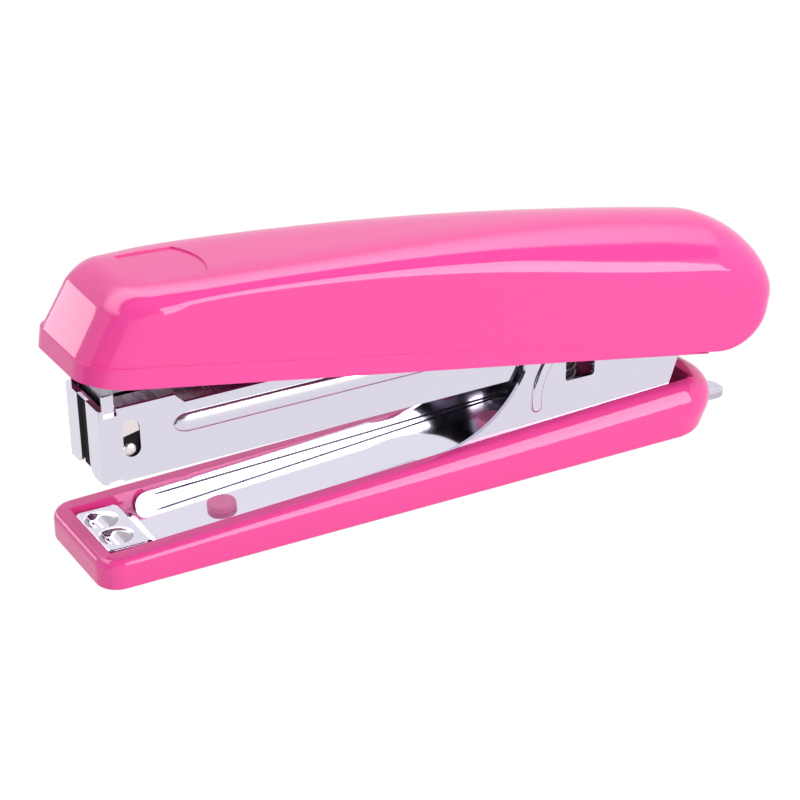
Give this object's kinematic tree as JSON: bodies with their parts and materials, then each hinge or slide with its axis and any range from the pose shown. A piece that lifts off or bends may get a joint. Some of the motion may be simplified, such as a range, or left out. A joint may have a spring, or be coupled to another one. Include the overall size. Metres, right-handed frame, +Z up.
{
  "type": "stapler",
  "caption": "Hand stapler with moulded handle and base, sprung chrome magazine, staple follower, driver blade, anvil plate and rear staple remover tongue.",
  "frame": {"origin": "middle of the base's flat sole", "axes": "+Z up, -X towards the nose where the staple leaves, +Y across"},
  "size_m": [0.1071, 0.0206, 0.0382],
  "materials": {
    "pink_plastic": "glossy moulded",
    "chrome_sheet": "polished plating",
    "satin_steel": "satin",
    "spring_steel": "drawn wire",
    "staple_wire": "galvanised",
    "follower_plastic": "matt moulded"
  },
  "bodies": {
    "base": {"base_tray": "pink_plastic", "base_channel": "chrome_sheet", "anvil_plate": "chrome_sheet", "remover_tongue": "satin_steel", "pivot_pin": "satin_steel", "pivot_sleeve": "satin_steel", "lift_spring": "spring_steel"},
    "magazine": {"magazine_channel": "chrome_sheet", "staple_rail": "satin_steel", "driver_guide": "chrome_sheet", "staple_strip": "staple_wire", "spring_bracket": "satin_steel", "follower_rod": "satin_steel", "follower_spring": "spring_steel"},
    "follower": {"follower": "follower_plastic"},
    "handle": {"handle_cover": "pink_plastic", "handle_frame": "satin_steel", "driver_blade": "satin_steel", "driver_rivets": "satin_steel", "return_leaf": "spring_steel", "leaf_rivets": "satin_steel", "cover_screws": "satin_steel"}
  },
  "joints": [
    {"name": "magazine_hinge", "type": "hinge", "parent": "base", "child": "magazine", "pos_m": [0.03675, 0, 0.0185], "axis": [0, 1, 0], "range_deg": [-6, 0], "stiffness_Nm_per_rad": 0.3, "springref_deg": 14.32, "deforming": ["lift_spring"]},
    {"name": "handle_hinge", "type": "hinge", "parent": "magazine", "child": "handle", "pos_m": [0.03675, 0, 0.0185], "axis": [0, 1, 0], "range_deg": [-4.7, 16], "stiffness_Nm_per_rad": 0.4, "springref_deg": 1.72, "deforming": ["return_leaf"]},
    {"name": "follower_slide", "type": "slide", "parent": "magazine", "child": "follower", "axis": [0.9999, 0, 0.014], "range_m": [0, 0.017], "stiffness_N_per_m": 60, "springref_m": -0.02, "deforming": ["follower_spring"]}
  ]
}
